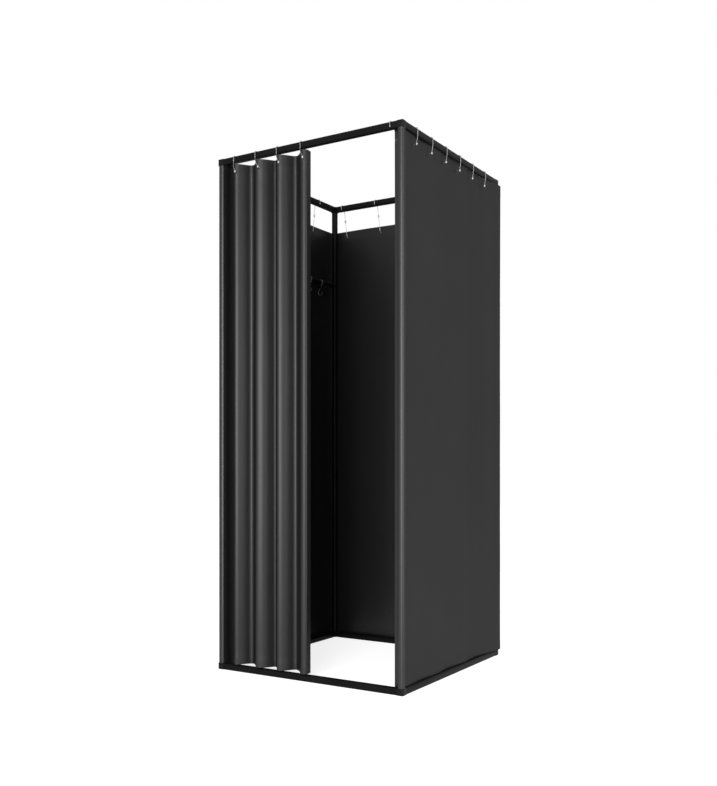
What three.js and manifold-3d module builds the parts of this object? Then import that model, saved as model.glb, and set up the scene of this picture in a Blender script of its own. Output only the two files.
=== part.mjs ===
// Portable fitting room. Posts and rails of slim square tube plug into three-way corner
// connectors. A curtain hangs on each side from wire hooks that go over the top rails, and a
// garment rail with three S-hooks crosses the left side. Millimetres, +Z up. The origin is on
// the floor under the middle of the booth, and the doorway faces -Y.
import * as THREE from 'three';
import { mergeVertices } from 'three/addons/utils/BufferGeometryUtils.js';
import Module from 'manifold-3d';

const wasm = await Module();
wasm.setup();

// Frame
const boothHeight = 2050;
const boothWidth = 850;
const boothDepth = 850;
const tubeSize = 26;
const tubeWall = 1.5;
const tubeCorner = 6;
const seatGap = 0.3;

// Corner connectors: a block with a ribbed arm for each of its three tubes
const blockCorner = 4;
const armLength = 38;
const armRib = 4;
const collarThickness = 3;

// Garment rail: a round tube on two plugs, each hollowed to sit on its post
const garmentRailDrop = 377;
const garmentRailSize = 22;
const garmentRailWall = 1.5;
const plugFlange = 5;
const plugSaddle = 4;
const plugStub = 25;

// Garment hooks: S-hooks, placed along the garment rail
const garmentHookLength = 75;
const garmentHookWire = 2.4;
const garmentHookBowl = 11;
const garmentHookLip = 20;
const garmentHookShares = [0.34, 0.235, 0.06];

// Curtains
const clothThickness = 2.5;
const frontDrop = 37;
const frontClearance = 31;
const railClearance = 1.5;
const longDrop = 118;
const longClearance = 10;
const outsideHang = 21.5;
const swayDepth = 2;
const swayStep = 20;

// Front curtain: its folds, drawn to the left
const foldDepth = 50;
const crestOut = 24;
const crestShares = [-0.0047, 0.1182, 0.2524, 0.3697, 0.5016];
const foldRunShares = [0, 0.06, 0.13, 0.19, 0.25, 0.3, 0.36, 0.42, 0.52, 0.66, 0.82, 0.94];
const foldDepthShares = [0, 0.05, 0.24, 0.5, 0.76, 0.92, 1, 1, 0.88, 0.62, 0.26, 0.04];
const skippedFoldSteps = 7;
const frontStartShares = [0.45, 0.59, 0.74];
const frontEndRadius = 5;
const frontEndLean = 12;

// Side curtain on the right: it turns in behind the front post and round outside the back post
const returnTip = 50;
const returnInset = 17;
const turnRadius = 10;
const bulgeStart = 155;
const bulgeEnd = 25;
const backReturnTip = 47;

// Curtains at the back and on the left, which end at the posts
const backStart = 5;
const backEnd = 55;
const leftStart = 27;
const leftEnd = 1;

// Curtain hooks
const wireSize = 2.4;
const ballSize = 9;
const ballStretchShare = 1.35;
const eyeletSize = 5;
const eyeletReach = 5;
const innerLeg = 8;
const shoulderDrop = 14;
const lowerBend = 3;
const leastTurn = 0.5;
const frontHookDrop = 55;
const frontHookLead = 20;
const frontLeadShares = [0.96, 1.29, 1.1, 1.08];
const hookThrough = 6;
const tipRise = 7;
const rightHookDrop = 46;
const rightHookLead = -3;
const rightHookReach = 11;
const rightHookShares = [-0.3726, -0.2314, -0.0902, 0.0521, 0.1935, 0.3349];
const longHookDrop = 131;
const longHookLead = 14;
const longHookBall = 58;
const backHookShares = [-0.43, -0.215, 0, 0.215, 0.4];
const leftHookShares = [-0.312, -0.104, 0.104, 0.312];
const returnHookPlace = 53;
const returnHookLead = 12;
const returnHookShoulder = 4;
const returnHookCross = 9;
const returnHookDrop = 46;
const returnHookReach = 24;
const backReturnHookPlace = 33;

// Facets
const cornerSteps = 2;
const roundSides = 24;
const wireSides = 6;
const topBendSteps = 4;
const lowerBendSteps = 2;
const ballRings = 5;
const ballSides = 8;
const eyeletSides = 8;
const hookArcSteps = 12;

// Sizes that follow
const half = tubeSize / 2;
const postX = boothWidth / 2 - half;
const postY = boothDepth / 2 - half;
const topRailHeight = boothHeight - half;
const garmentRailHeight = boothHeight - garmentRailDrop;
const blockEnd = tubeSize + seatGap;
const boreSize = tubeSize - 2 * tubeWall;
const boreCorner = tubeCorner - tubeWall;
const wireRadius = wireSize / 2;
const wireRise = half + seatGap + wireRadius;
const hangSlack = (eyeletSize / 2) * Math.cos(Math.PI / eyeletSides) - wireRadius - seatGap;
const quarter = Math.PI / 2;

// Finishes
const blackPaint = new THREE.MeshStandardMaterial({ color: 0x1b1b1d, roughness: 0.45, metalness: 0.1 });
const blackPlastic = new THREE.MeshStandardMaterial({ color: 0x17171a, roughness: 0.5, metalness: 0 });
const brightWire = new THREE.MeshStandardMaterial({ color: 0xc9c9c6, roughness: 0.25, metalness: 1 });
const blackCloth = new THREE.MeshStandardMaterial({ color: 0x232325, roughness: 0.7, metalness: 0 });

const booth = new THREE.Group();

function addPiece(name, geometry, finish) {
  const piece = new THREE.Mesh(geometry, finish.clone());
  piece.name = name;
  booth.add(piece);
  return piece;
}

function toSolid(geometry) {
  const bare = geometry.clone();
  bare.deleteAttribute('normal');
  bare.deleteAttribute('uv');
  const merged = mergeVertices(bare);
  const vertProperties = Float32Array.from(merged.attributes.position.array);
  const triVerts = Uint32Array.from(merged.index.array);
  return new wasm.Manifold(new wasm.Mesh({ numProp: 3, vertProperties, triVerts }));
}

function toGeometry(solid) {
  const { vertProperties, triVerts } = solid.getMesh();
  const geometry = new THREE.BufferGeometry();
  geometry.setAttribute('position', new THREE.BufferAttribute(Float32Array.from(vertProperties), 3));
  geometry.setIndex(new THREE.BufferAttribute(Uint32Array.from(triVerts), 1));
  geometry.computeVertexNormals();
  return geometry;
}

// A square outline with four round corners, centred on zero
function roundedSquare(Outline, size, corner) {
  const outline = new Outline();
  const straight = size / 2 - corner;
  for (let side = 0; side < 4; side += 1) {
    const turn = side * quarter;
    const middle = new THREE.Vector2(straight, straight).rotateAround(new THREE.Vector2(), turn);
    outline.absarc(middle.x, middle.y, corner, turn, turn + quarter, false);
  }
  outline.closePath();
  return outline;
}

function extrude(outline, length) {
  return new THREE.ExtrudeGeometry(outline, { depth: length, bevelEnabled: false, curveSegments: cornerSteps });
}

// The frame's tube, along +Z from zero
function squareTube(length) {
  const outline = roundedSquare(THREE.Shape, tubeSize, tubeCorner);
  outline.holes.push(roundedSquare(THREE.Path, boreSize, boreCorner));
  return extrude(outline, length);
}

function addFrame() {
  const postLength = boothHeight - 2 * blockEnd;
  const widthLength = boothWidth - 2 * blockEnd;
  const depthLength = boothDepth - 2 * blockEnd;
  for (const [endName, endY] of [['front', -postY], ['back', postY]]) {
    for (const [sideName, sideX] of [['left', -postX], ['right', postX]]) {
      const post = addPiece(`post_${endName}_${sideName}`, squareTube(postLength), blackPaint);
      post.position.set(sideX, endY, blockEnd);
    }
  }
  for (const [levelName, level] of [['top', topRailHeight], ['bottom', half]]) {
    for (const [endName, endY] of [['front', -postY], ['back', postY]]) {
      const rail = addPiece(`${levelName}_rail_${endName}`, squareTube(widthLength), blackPaint);
      rail.rotation.y = quarter;
      rail.position.set(-widthLength / 2, endY, level);
    }
    for (const [sideName, sideX] of [['left', -postX], ['right', postX]]) {
      const rail = addPiece(`${levelName}_rail_${sideName}`, squareTube(depthLength), blackPaint);
      rail.rotation.x = -quarter;
      rail.position.set(sideX, -depthLength / 2, level);
    }
  }
}

// One arm of a connector, along +Z from the middle of its block: two crossing ribs and a
// collar at the tip that grips the bore of the tube
function connectorArm() {
  const armSize = boreSize - 2 * seatGap;
  const reach = half + armLength;
  const upright = new THREE.BoxGeometry(armSize, armRib, reach).translate(0, 0, reach / 2);
  const across = new THREE.BoxGeometry(armRib, armSize, reach).translate(0, 0, reach / 2);
  const collar = new THREE.ExtrudeGeometry(
    roundedSquare(THREE.Shape, armSize, boreCorner),
    { depth: collarThickness, bevelEnabled: false, curveSegments: 1 },
  );
  collar.translate(0, 0, reach - collarThickness);
  return toGeometry(toSolid(upright).add(toSolid(across)).add(toSolid(collar)));
}

// A square outline with one round corner, at +X +Y, which makes the outer edges of a block
function blockOutline() {
  const outline = new THREE.Shape();
  outline.moveTo(-half, -half);
  outline.lineTo(half, -half);
  outline.absarc(half - blockCorner, half - blockCorner, blockCorner, 0, quarter, false);
  outline.lineTo(-half, half);
  outline.closePath();
  return outline;
}

// A connector for the corner at +X +Y +Z, with its arms toward -X, -Y and -Z
function connector() {
  const profile = extrude(blockOutline(), tubeSize).translate(0, 0, -half);
  const turns = [
    new THREE.Euler(),
    new THREE.Euler(quarter, quarter, 0),
    new THREE.Euler(0, -quarter, -quarter),
  ];
  const blocks = turns.map((turn) => {
    const turned = profile.clone().applyMatrix4(new THREE.Matrix4().makeRotationFromEuler(turn));
    return toSolid(turned);
  });
  let body = blocks[0].intersect(blocks[1]).intersect(blocks[2]);
  const arm = connectorArm();
  body = body.add(toSolid(arm.clone().rotateY(-quarter)));
  body = body.add(toSolid(arm.clone().rotateX(quarter)));
  body = body.add(toSolid(arm.clone().rotateX(Math.PI)));
  return toGeometry(body);
}

function addConnectors() {
  const shape = connector();
  const corners = [['back_right', 1, 1], ['back_left', -1, 1], ['front_left', -1, -1], ['front_right', 1, -1]];
  corners.forEach(([cornerName, sideX, sideY], place) => {
    const top = addPiece(`corner_top_${cornerName}`, shape.clone(), blackPlastic);
    top.rotation.z = place * quarter;
    top.position.set(sideX * postX, sideY * postY, topRailHeight);
    const bottom = addPiece(`corner_bottom_${cornerName}`, shape.clone(), blackPlastic);
    bottom.rotation.set(Math.PI, 0, (place + 1) * quarter, 'ZYX');
    bottom.position.set(sideX * postX, sideY * postY, half);
  });
}

// The garment rail's plug at the back post: a flange hollowed to sit on the post, and a stub
// in the bore of the rail
function garmentRailPlug() {
  const flangeLength = plugFlange - seatGap + plugSaddle;
  const flange = new THREE.CylinderGeometry(garmentRailSize / 2, garmentRailSize / 2, flangeLength, roundSides);
  const stubRadius = garmentRailSize / 2 - garmentRailWall - seatGap;
  const stub = new THREE.CylinderGeometry(stubRadius, stubRadius, plugStub + plugFlange, roundSides);
  const postOutline = roundedSquare(THREE.Shape, tubeSize + 2 * seatGap, tubeCorner + seatGap);
  const post = extrude(postOutline, 2 * garmentRailSize);
  post.translate(0, half, -garmentRailSize);
  flange.translate(0, plugSaddle - flangeLength / 2, 0);
  stub.translate(0, -(plugStub + plugFlange) / 2, 0);
  return toGeometry(toSolid(flange).add(toSolid(stub)).subtract(toSolid(post)));
}

function addGarmentRail() {
  const postFace = postY - half;
  const outerRadius = garmentRailSize / 2;
  const outline = new THREE.Shape().absarc(0, 0, outerRadius, 0, 2 * Math.PI, false);
  outline.holes.push(new THREE.Path().absarc(0, 0, outerRadius - garmentRailWall, 0, 2 * Math.PI, true));
  const length = 2 * (postFace - plugFlange);
  const tube = new THREE.ExtrudeGeometry(
    outline,
    { depth: length, bevelEnabled: false, curveSegments: roundSides / 2 },
  );
  const rail = addPiece('garment_rail', tube, blackPaint);
  rail.rotation.x = -quarter;
  rail.position.set(-postX, -length / 2, garmentRailHeight);
  const back = addPiece('garment_rail_plug_back', garmentRailPlug(), blackPlastic);
  back.position.set(-postX, postFace, garmentRailHeight);
  const front = addPiece('garment_rail_plug_front', garmentRailPlug(), blackPlastic);
  front.rotation.z = Math.PI;
  front.position.set(-postX, -postFace, garmentRailHeight);
}

// A route through chosen stations, for sweeping a wire
class StationRoute extends THREE.Curve {
  constructor(stations) {
    super();
    this.stations = stations;
  }

  getPoint(share) {
    const place = share * (this.stations.length - 1);
    const index = Math.min(Math.floor(place), this.stations.length - 2);
    return this.stations[index].clone().lerp(this.stations[index + 1], place - index);
  }

  getTangent(share) {
    const index = Math.round(share * (this.stations.length - 1));
    const before = this.stations[Math.max(index - 1, 0)];
    const after = this.stations[Math.min(index + 1, this.stations.length - 1)];
    return after.clone().sub(before).normalize();
  }

  getPointAt(share) {
    return this.getPoint(share);
  }

  getTangentAt(share) {
    return this.getTangent(share);
  }
}

function sweepWire(stations, size) {
  const section = new THREE.Shape();
  for (let side = 0; side < wireSides; side += 1) {
    const angle = (side / wireSides) * 2 * Math.PI;
    const x = (size / 2) * Math.cos(angle);
    const y = (size / 2) * Math.sin(angle);
    if (side === 0) section.moveTo(x, y);
    else section.lineTo(x, y);
  }
  section.closePath();
  return new THREE.ExtrudeGeometry(section, {
    steps: stations.length - 1,
    extrudePath: new StationRoute(stations),
    bevelEnabled: false,
  });
}

// Stations along a bent wire: straight runs between corners, each rounded by its own bend. A
// corner that the wire passes without a turn gives none.
function bentRoute(corners) {
  const last = corners.length - 1;
  const stations = [corners[0].at];
  for (let index = 1; index < last; index += 1) {
    const { at, bend, steps } = corners[index];
    const into = at.clone().sub(corners[index - 1].at).normalize();
    const onward = corners[index + 1].at.clone().sub(at).normalize();
    const turn = into.angleTo(onward);
    if (turn < THREE.MathUtils.degToRad(leastTurn)) continue;
    const reach = bend * Math.tan(turn / 2);
    const start = at.clone().addScaledVector(into, -reach);
    const end = at.clone().addScaledVector(onward, reach);
    stations.push(...new THREE.QuadraticBezierCurve3(start, at, end).getPoints(steps));
  }
  stations.push(corners[last].at);
  return stations;
}

// The four walls. Each gives points by their place along its top rail, outward from the rail's
// centre line, and up from it.
const walls = {
  front: (along, out, up) => new THREE.Vector3(along, -postY - out, topRailHeight + up),
  right: (along, out, up) => new THREE.Vector3(postX + out, along, topRailHeight + up),
  back: (along, out, up) => new THREE.Vector3(along, postY + out, topRailHeight + up),
  left: (along, out, up) => new THREE.Vector3(-postX - out, along, topRailHeight + up),
  inFront: (along, out, up) => new THREE.Vector3(along, -postY + out, topRailHeight + up),
};

// A curtain hook: over the rail from its short leg, then down the places in its lower part,
// each a lead along the rail, a distance outward and a drop
function curtainHook(wall, along, lower, ballPlace) {
  const topBend = tubeCorner + seatGap + wireRadius;
  const place = (lead, out, drop, bend, steps) => ({ at: wall(along + lead, out, -drop), bend, steps });
  const corners = [
    place(0, -wireRise, innerLeg, 0, 0),
    place(0, -wireRise, -wireRise, topBend, topBendSteps),
    place(0, wireRise, -wireRise, topBend, topBendSteps),
    ...lower.map(([lead, out, drop]) => place(lead, out, drop, lowerBend, lowerBendSteps)),
  ];
  const wire = toSolid(sweepWire(bentRoute(corners), wireSize));
  const [ballLead, ballOut, ballDrop] = ballPlace;
  const middle = wall(along + ballLead, ballOut, -ballDrop);
  const ball = new THREE.SphereGeometry(ballSize / 2, ballSides, ballRings).rotateX(quarter);
  ball.scale(1, 1, ballStretchShare).translate(middle.x, middle.y, middle.z);
  return toGeometry(wire.add(toSolid(ball)));
}

// A hook whose leg leaves the rail outside the cloth, turns in through the eyelet and up
function hookFromOutside(wall, along, lead, reach, drop, through) {
  const lower = [
    [0, wireRise, shoulderDrop],
    [lead, reach, drop],
    [lead, through, drop],
    [lead, through, drop - tipRise],
  ];
  return curtainHook(wall, along, lower, [lead, reach, drop]);
}

// A hook whose leg stays inside the cloth, with the ball on the leg, and turns out through it
function hookFromInside(wall, along, lead, drop, ballDrop) {
  const reach = outsideHang + hookThrough;
  const ballShare = (ballDrop - shoulderDrop) / (drop - shoulderDrop);
  const lower = [
    [0, wireRise, shoulderDrop],
    [lead, wireRise, drop],
    [lead, reach, drop],
    [lead, reach, drop - tipRise],
  ];
  return curtainHook(wall, along, lower, [lead * ballShare, wireRise, ballDrop]);
}

// The places of the front curtain's crests and of the hooks, along their rails
const crestPlaces = crestShares.map((share) => share * boothWidth - boothWidth / 2);
const frontLeads = frontLeadShares.map((share) => share * frontHookLead);
const rightHookPlaces = rightHookShares.map((share) => share * boothDepth);
const backHookPlaces = backHookShares.map((share) => share * boothWidth);
const leftHookPlaces = leftHookShares.map((share) => share * boothDepth);
const returnHookX = boothWidth / 2 - returnHookPlace;
const backReturnHookX = boothWidth / 2 - backReturnHookPlace;

function addCurtainHooks() {
  const crestReach = crestOut + ballSize / 2 + seatGap;
  const crestThrough = crestOut - clothThickness - hookThrough;
  frontLeads.forEach((lead, index) => {
    const along = crestPlaces[index + 1] - lead;
    const hook = hookFromOutside(walls.front, along, lead, crestReach, frontHookDrop, crestThrough);
    addPiece(`front_hook_${index + 1}`, hook, brightWire);
  });
  const rightShape = [rightHookLead, rightHookReach, rightHookDrop, -hookThrough];
  rightHookPlaces.forEach((along, index) => {
    const hook = hookFromOutside(walls.right, along, ...rightShape);
    addPiece(`right_hook_${index + 1}`, hook, brightWire);
  });
  backHookPlaces.forEach((along, index) => {
    const hook = hookFromInside(walls.back, along, longHookLead, longHookDrop, longHookBall);
    addPiece(`back_hook_${index + 1}`, hook, brightWire);
  });
  leftHookPlaces.forEach((along, index) => {
    const hook = hookFromInside(walls.left, along, -longHookLead, longHookDrop, longHookBall);
    addPiece(`left_hook_${index + 1}`, hook, brightWire);
  });
}

// The two hooks at the ends of the right curtain: the one on the front rail crosses over the
// cloth's top edge and reaches down inside the booth, and the one on the back rail reaches out
// through it
function addReturnHooks() {
  const behindCloth = returnInset + clothThickness / 2 + seatGap + wireRadius;
  const pastCloth = returnInset - clothThickness / 2 - wireRadius;
  const lower = [
    [0, wireRise, returnHookShoulder],
    [0, behindCloth, returnHookCross],
    [returnHookLead, returnHookReach, returnHookDrop],
    [returnHookLead, pastCloth, returnHookDrop],
  ];
  const ballPlace = [returnHookLead, returnHookReach, returnHookDrop];
  const front = curtainHook(walls.inFront, returnHookX, lower, ballPlace);
  addPiece('return_hook_front', front, brightWire);
  const back = hookFromInside(walls.back, backReturnHookX, 0, returnHookDrop, returnHookDrop);
  addPiece('return_hook_back', back, brightWire);
}

// An upright ribbon of cloth along a centre line in plan, between two heights
function ribbon(centreLine, bottom, top) {
  const nearSide = [];
  const farSide = [];
  centreLine.forEach((point, index) => {
    const before = centreLine[Math.max(index - 1, 0)];
    const after = centreLine[Math.min(index + 1, centreLine.length - 1)];
    const along = after.clone().sub(before).normalize();
    const offset = new THREE.Vector2(-along.y, along.x).multiplyScalar(clothThickness / 2);
    nearSide.push(point.clone().add(offset));
    farSide.push(point.clone().sub(offset));
  });
  const outline = new THREE.Shape([...nearSide, ...farSide.reverse()]);
  return toSolid(extrude(outline, top - bottom).translate(0, 0, bottom));
}

// A cutter for an eyelet, through the cloth where a hook's wire crosses it
function eyeletCut(wall, along, out, drop) {
  const middle = wall(along, out, -drop - hangSlack);
  const outward = wall(along, out + clothThickness, -drop - hangSlack).sub(middle).normalize();
  const cut = new THREE.CylinderGeometry(eyeletSize / 2, eyeletSize / 2, 2 * eyeletReach, eyeletSides);
  cut.rotateY(Math.PI / eyeletSides);
  cut.applyQuaternion(new THREE.Quaternion().setFromUnitVectors(new THREE.Vector3(0, 1, 0), outward));
  cut.translate(middle.x, middle.y, middle.z);
  return toSolid(cut);
}

function cutEyelets(cloth, cuts) {
  return toGeometry(cuts.reduce((solid, cut) => solid.subtract(cut), cloth));
}

// The front curtain's centre line: a start beside the left post, the folds from crest to crest,
// and an end that turns back and leans to the right
function frontCentreLine() {
  const crestY = -postY - crestOut + clothThickness / 2;
  const points = [];
  for (let fold = 0; fold < crestPlaces.length - 1; fold += 1) {
    const pitch = crestPlaces[fold + 1] - crestPlaces[fold];
    for (let index = fold === 0 ? skippedFoldSteps : 0; index < foldRunShares.length; index += 1) {
      const x = crestPlaces[fold] + foldRunShares[index] * pitch;
      points.push(new THREE.Vector3(x, crestY + foldDepthShares[index] * foldDepth));
    }
  }
  const startX = half - postX + 2 * seatGap + clothThickness / 2;
  points.unshift(...frontStartShares.map((share) => new THREE.Vector3(startX, crestY + share * foldDepth)));
  const smooth = new THREE.CatmullRomCurve3(points, false, 'centripetal').getPoints(2 * (points.length - 1));
  const lastCrest = crestPlaces[crestPlaces.length - 1];
  const end = new THREE.Path();
  end.moveTo(smooth[smooth.length - 1].x, smooth[smooth.length - 1].y);
  end.lineTo(lastCrest - frontEndRadius, crestY);
  end.absarc(lastCrest, crestY + frontEndRadius, frontEndRadius, -quarter, 0, false);
  end.lineTo(lastCrest + frontEndLean, crestY + foldDepth);
  const turn = end.getPoints(cornerSteps).slice(1);
  return [...smooth.map((point) => new THREE.Vector2(point.x, point.y)), ...turn];
}

// How far a hanging cloth sways out of its plane: nothing at the hooks, either side between
function sway(along, places) {
  const next = places.findIndex((place) => place > along);
  const index = next === -1 ? places.length - 1 : Math.max(next, 1);
  const before = places[index - 1];
  const share = (along - before) / (places[index] - before);
  const side = index % 2 === 0 ? 1 : -1;
  return side * swayDepth * Math.sin(Math.PI * share);
}

// Places at even steps from one end of a cloth to the other
function evenPlaces(start, end) {
  const steps = Math.ceil((end - start) / swayStep);
  return Array.from({ length: steps + 1 }, (_, step) => start + (end - start) * (step / steps));
}

function addFrontCurtain() {
  const cloth = ribbon(frontCentreLine(), frontClearance, boothHeight - frontDrop);
  const middle = crestOut - clothThickness / 2;
  const cuts = crestPlaces.slice(1).map((along) => eyeletCut(walls.front, along, middle, frontHookDrop));
  addPiece('front_curtain', cutEyelets(cloth, cuts), blackCloth);
}

// The right curtain's centre line: in behind the front post, along under the rail, then out and
// round the back post
function rightCentreLine() {
  const stripY = -postY + returnInset;
  const plan = new THREE.Path();
  plan.moveTo(boothWidth / 2 - returnTip, stripY);
  plan.lineTo(postX - turnRadius, stripY);
  plan.absarc(postX - turnRadius, stripY + turnRadius, turnRadius, -quarter, 0, false);
  const bulgeFrom = boothDepth / 2 - bulgeStart;
  const bulgeTo = boothDepth / 2 - bulgeEnd;
  const hungPlaces = rightHookPlaces.map((place) => place + rightHookLead);
  for (const along of evenPlaces(stripY + 2 * turnRadius, bulgeTo)) {
    const bulge = outsideHang * THREE.MathUtils.smoothstep(along, bulgeFrom, bulgeTo);
    plan.lineTo(postX + bulge + (along < bulgeFrom ? sway(along, hungPlaces) : 0), along);
  }
  const outside = postY + outsideHang;
  plan.absarc(postX + outsideHang - turnRadius, outside - turnRadius, turnRadius, 0, quarter, false);
  plan.lineTo(boothWidth / 2 - backReturnTip, outside);
  return plan.getPoints(cornerSteps);
}

// The right curtain fills the height between its rails
function addRightCurtain() {
  const edge = tubeSize + railClearance;
  const cloth = ribbon(rightCentreLine(), edge, boothHeight - edge);
  const cuts = rightHookPlaces.map((along) => eyeletCut(walls.right, along + rightHookLead, 0, rightHookDrop));
  cuts.push(eyeletCut(walls.inFront, returnHookX + returnHookLead, returnInset, returnHookDrop));
  cuts.push(eyeletCut(walls.back, backReturnHookX, outsideHang, returnHookDrop));
  addPiece('right_curtain', cutEyelets(cloth, cuts), blackCloth);
}

// A curtain that hangs outside its rail on long hooks
function addOutsideCurtain(name, wall, start, end, hungPlaces) {
  const line = evenPlaces(start, end).map((along) => {
    const point = wall(along, outsideHang + sway(along, hungPlaces), 0);
    return new THREE.Vector2(point.x, point.y);
  });
  const cloth = ribbon(line, longClearance, boothHeight - longDrop);
  const cuts = hungPlaces.map((along) => eyeletCut(wall, along, outsideHang, longHookDrop));
  addPiece(name, cutEyelets(cloth, cuts), blackCloth);
}

function addOutsideCurtains() {
  const backHung = backHookPlaces.map((place) => place + longHookLead);
  addOutsideCurtain('back_curtain', walls.back, backStart - boothWidth / 2, boothWidth / 2 - backEnd, backHung);
  const leftHung = leftHookPlaces.map((place) => place - longHookLead);
  addOutsideCurtain('left_curtain', walls.left, leftStart - boothDepth / 2, boothDepth / 2 - leftEnd, leftHung);
}

// A garment hook: an S of wire round the garment rail, with its lower bowl open to the inside
function addGarmentHooks() {
  const radius = garmentHookWire / 2;
  const topRadius = garmentRailSize / 2 + seatGap + radius;
  const bowlDrop = garmentHookLength - garmentHookWire - topRadius - garmentHookBowl;
  const lip = THREE.MathUtils.degToRad(garmentHookLip);
  const crossing = Math.asin((topRadius + garmentHookBowl) / bowlDrop);
  const topSweep = Math.PI + lip + crossing;
  const stations = [];
  for (let step = 0; step <= hookArcSteps; step += 1) {
    const angle = Math.PI + lip - topSweep * (step / hookArcSteps);
    stations.push(new THREE.Vector3(topRadius * Math.cos(angle), 0, topRadius * Math.sin(angle)));
  }
  for (let step = 0; step <= hookArcSteps; step += 1) {
    const angle = Math.PI - crossing + topSweep * (step / hookArcSteps);
    const rise = garmentHookBowl * Math.sin(angle);
    stations.push(new THREE.Vector3(garmentHookBowl * Math.cos(angle), 0, rise - bowlDrop));
  }
  garmentHookShares.forEach((share, index) => {
    const hook = addPiece(`garment_hook_${index + 1}`, sweepWire(stations, garmentHookWire), brightWire);
    hook.position.set(-postX, share * boothDepth, garmentRailHeight);
  });
}

addFrame();
addConnectors();
addGarmentRail();
addCurtainHooks();
addReturnHooks();
addGarmentHooks();
addFrontCurtain();
addRightCurtain();
addOutsideCurtains();

export default booth;
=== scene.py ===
# Portable fitting room: slim black tubes, curtains on wire hooks and a garment rail inside.
# Metres, +Z up, in the frame's own place: the doorway faces -Y.
import math

import bmesh
import bpy
import numpy as np
from mathutils import Matrix, Vector, noise


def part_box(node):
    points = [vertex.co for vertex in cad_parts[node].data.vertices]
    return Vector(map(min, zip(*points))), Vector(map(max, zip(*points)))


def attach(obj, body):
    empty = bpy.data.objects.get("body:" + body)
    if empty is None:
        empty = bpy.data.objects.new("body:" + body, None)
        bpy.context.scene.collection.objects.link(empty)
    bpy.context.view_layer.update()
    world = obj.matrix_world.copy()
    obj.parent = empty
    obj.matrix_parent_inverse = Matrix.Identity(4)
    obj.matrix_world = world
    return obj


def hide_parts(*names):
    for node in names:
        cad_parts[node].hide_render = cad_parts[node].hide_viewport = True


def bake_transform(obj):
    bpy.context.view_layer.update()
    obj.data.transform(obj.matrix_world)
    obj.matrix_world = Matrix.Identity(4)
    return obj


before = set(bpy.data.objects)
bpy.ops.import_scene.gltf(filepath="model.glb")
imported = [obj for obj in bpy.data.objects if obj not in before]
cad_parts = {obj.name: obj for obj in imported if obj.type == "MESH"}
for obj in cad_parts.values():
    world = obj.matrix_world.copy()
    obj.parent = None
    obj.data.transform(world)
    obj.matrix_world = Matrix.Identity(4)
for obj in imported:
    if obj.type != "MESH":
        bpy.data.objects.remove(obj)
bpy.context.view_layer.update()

# Places taken from the frame
post_low, post_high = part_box("post_front_right")
rail_low, rail_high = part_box("top_rail_front")
garment_low, garment_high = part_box("garment_rail")
TUBE = post_high.x - post_low.x
HALF = TUBE / 2
POST_X = (post_low.x + post_high.x) / 2
POST_Y = -(post_low.y + post_high.y) / 2
RAIL_Z = (rail_low.z + rail_high.z) / 2
BOOTH_WIDTH = 2 * post_high.x
BOOTH_DEPTH = -2 * post_low.y
BOOTH_HEIGHT = rail_high.z
GARMENT_RAIL_Z = (garment_low.z + garment_high.z) / 2
GARMENT_RAIL_SIZE = garment_high.z - garment_low.z

# Frame details. The solids' corners measure SOLID_CORNER, but the tubes shade as if rounder.
TUBE_WALL = 0.0015
POST_CORNER = 0.011
RAIL_CORNER = 0.007
SOLID_CORNER = 0.006
TUBE_EDGE = 0.0003
SEAT_GAP = 0.0003
BLOCK_CORNER = 0.004
BLOCK_EDGE = 0.0006
ARM_LENGTH = 0.038
ARM_RIB = 0.004
ARM_COLLAR = 0.003
PLUG_SADDLE = 0.004
PLUG_FLANGE = 0.005
PLUG_FACE_RINGS = [0.75, 0.45, 0.2]

# Curtains: their own thickness and hems, the solids' thickness, and their heights and places
CLOTH = 0.0009
HEM = 0.0017
HEM_RAMP = 0.005
TOP_HEM = 0.045
BOTTOM_HEM = 0.030
SIDE_HEM = 0.012
SOLID_CLOTH = 0.0025
FRONT_TOP_DROP = 0.037
FRONT_CLEARANCE = 0.031
RAIL_CLEARANCE = 0.0015
LONG_DROP = 0.118
LONG_CLEARANCE = 0.010
OUTSIDE_HANG = 0.0215
SWAY = 0.002

# Front curtain: its crests as shares of the booth's width, and each fold's section from crest
# to crest as shares of the way along and of the depth
FOLD_DEPTH = 0.050
CREST_OUT = 0.024
CREST_SHARES = [0.1182, 0.2524, 0.3697, 0.5016]
FOLDS = [
    [
        (0, 0.045), (0.05, 0.12), (0.1, 0.23), (0.15, 0.37), (0.2, 0.53), (0.25, 0.7),
        (0.3, 0.86), (0.36, 0.97), (0.42, 1), (0.52, 0.88), (0.66, 0.59), (0.78, 0.25),
        (0.84, 0.07), (0.885, 0.005), (0.93, 0.015),
    ],
    [
        (0, 0.085), (0.05, 0.14), (0.1, 0.21), (0.15, 0.3), (0.2, 0.42), (0.25, 0.56),
        (0.3, 0.7), (0.36, 0.86), (0.41, 0.97), (0.46, 1), (0.54, 0.86), (0.66, 0.58),
        (0.79, 0.23), (0.855, 0.06), (0.9, 0.005), (0.945, 0.012),
    ],
    [
        (0, 0.065), (0.05, 0.14), (0.1, 0.24), (0.15, 0.37), (0.2, 0.53), (0.25, 0.7),
        (0.3, 0.86), (0.36, 0.97), (0.42, 1), (0.52, 0.88), (0.66, 0.6), (0.8, 0.25),
        (0.87, 0.07), (0.92, 0.005), (0.96, 0.01),
    ],
]
FRONT_START_SHARES = [0.45, 1.04]
FIRST_FOLD_SHARES = [0, 0.3, 0.6, 0.8]
FRONT_EARLY = 0.006
FRONT_END_RADIUS = 0.018
FRONT_END_SHIFT = 0.4
FRONT_END_TURN = -math.pi / 9
FRONT_END_LEAN = 0.0075
FRONT_END_DEPTH = 0.0355

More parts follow.
